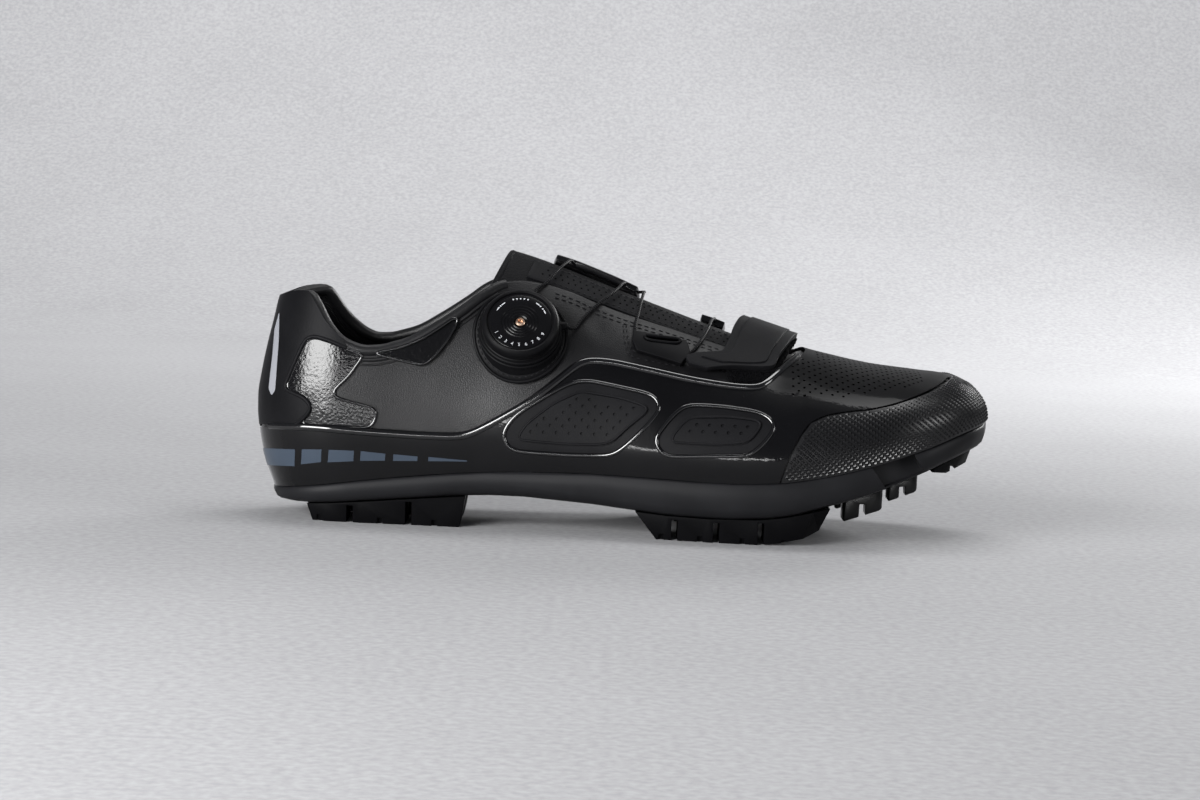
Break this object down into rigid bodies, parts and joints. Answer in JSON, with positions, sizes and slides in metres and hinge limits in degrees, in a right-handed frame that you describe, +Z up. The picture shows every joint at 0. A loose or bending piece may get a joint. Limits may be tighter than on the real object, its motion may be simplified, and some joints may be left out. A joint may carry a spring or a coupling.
{
  "type": "cycling shoe",
  "caption": "Right low-cut cycling shoe: matt and patent black upper, lace dial on the side, hook-and-loop strap, textured toe cap and lugged sole.",
  "frame": {"origin": "on the floor under the middle of the shoe's bounding box", "axes": "+X from heel to toe, +Y towards the medial (inner) side, +Z up from the floor"},
  "size_m": [0.2836, 0.0988, 0.105],
  "materials": {
    "matte_leather": "matt grained",
    "tongue_leather": "soft perforated",
    "strap_leather": "matt smooth",
    "patent": "high gloss",
    "toe_rubber": "raised dots, semi-matt",
    "moulded_band": "satin",
    "tread_rubber": "satin",
    "lining_fabric": "matt",
    "dial_plastic": "satin",
    "lace_cord": "woven",
    "screw_brass": "polished"
  },
  "bodies": {
    "root": {"upper": "matte_leather", "guard": "patent", "toe_cap": "toe_rubber", "heel_counter": "matte_leather", "heel_patch_lateral": "patent", "heel_patch_medial": "patent", "collar_patch_lateral": "patent", "collar_patch_medial": "patent", "tongue": "tongue_leather", "insole": "lining_fabric", "sole": "moulded_band", "heel_tread_lateral": "tread_rubber", "heel_tread_medial": "tread_rubber", "fore_tread_lateral": "tread_rubber", "fore_tread_medial": "tread_rubber", "toe_tread_lateral": "tread_rubber", "toe_tread_medial": "tread_rubber", "stud_1_lateral": "tread_rubber", "stud_1_medial": "tread_rubber", "stud_2_lateral": "tread_rubber", "stud_2_medial": "tread_rubber", "strap": "strap_leather", "hook_patch": "lining_fabric", "dial_base": "dial_plastic", "dial_knob": "dial_plastic", "dial_screw": "screw_brass", "guide_lateral": "dial_plastic", "guide_medial_rear": "strap_leather", "guide_medial_front": "dial_plastic", "lace_rear": "lace_cord", "lace_front": "lace_cord"}
  },
  "joints": []
}
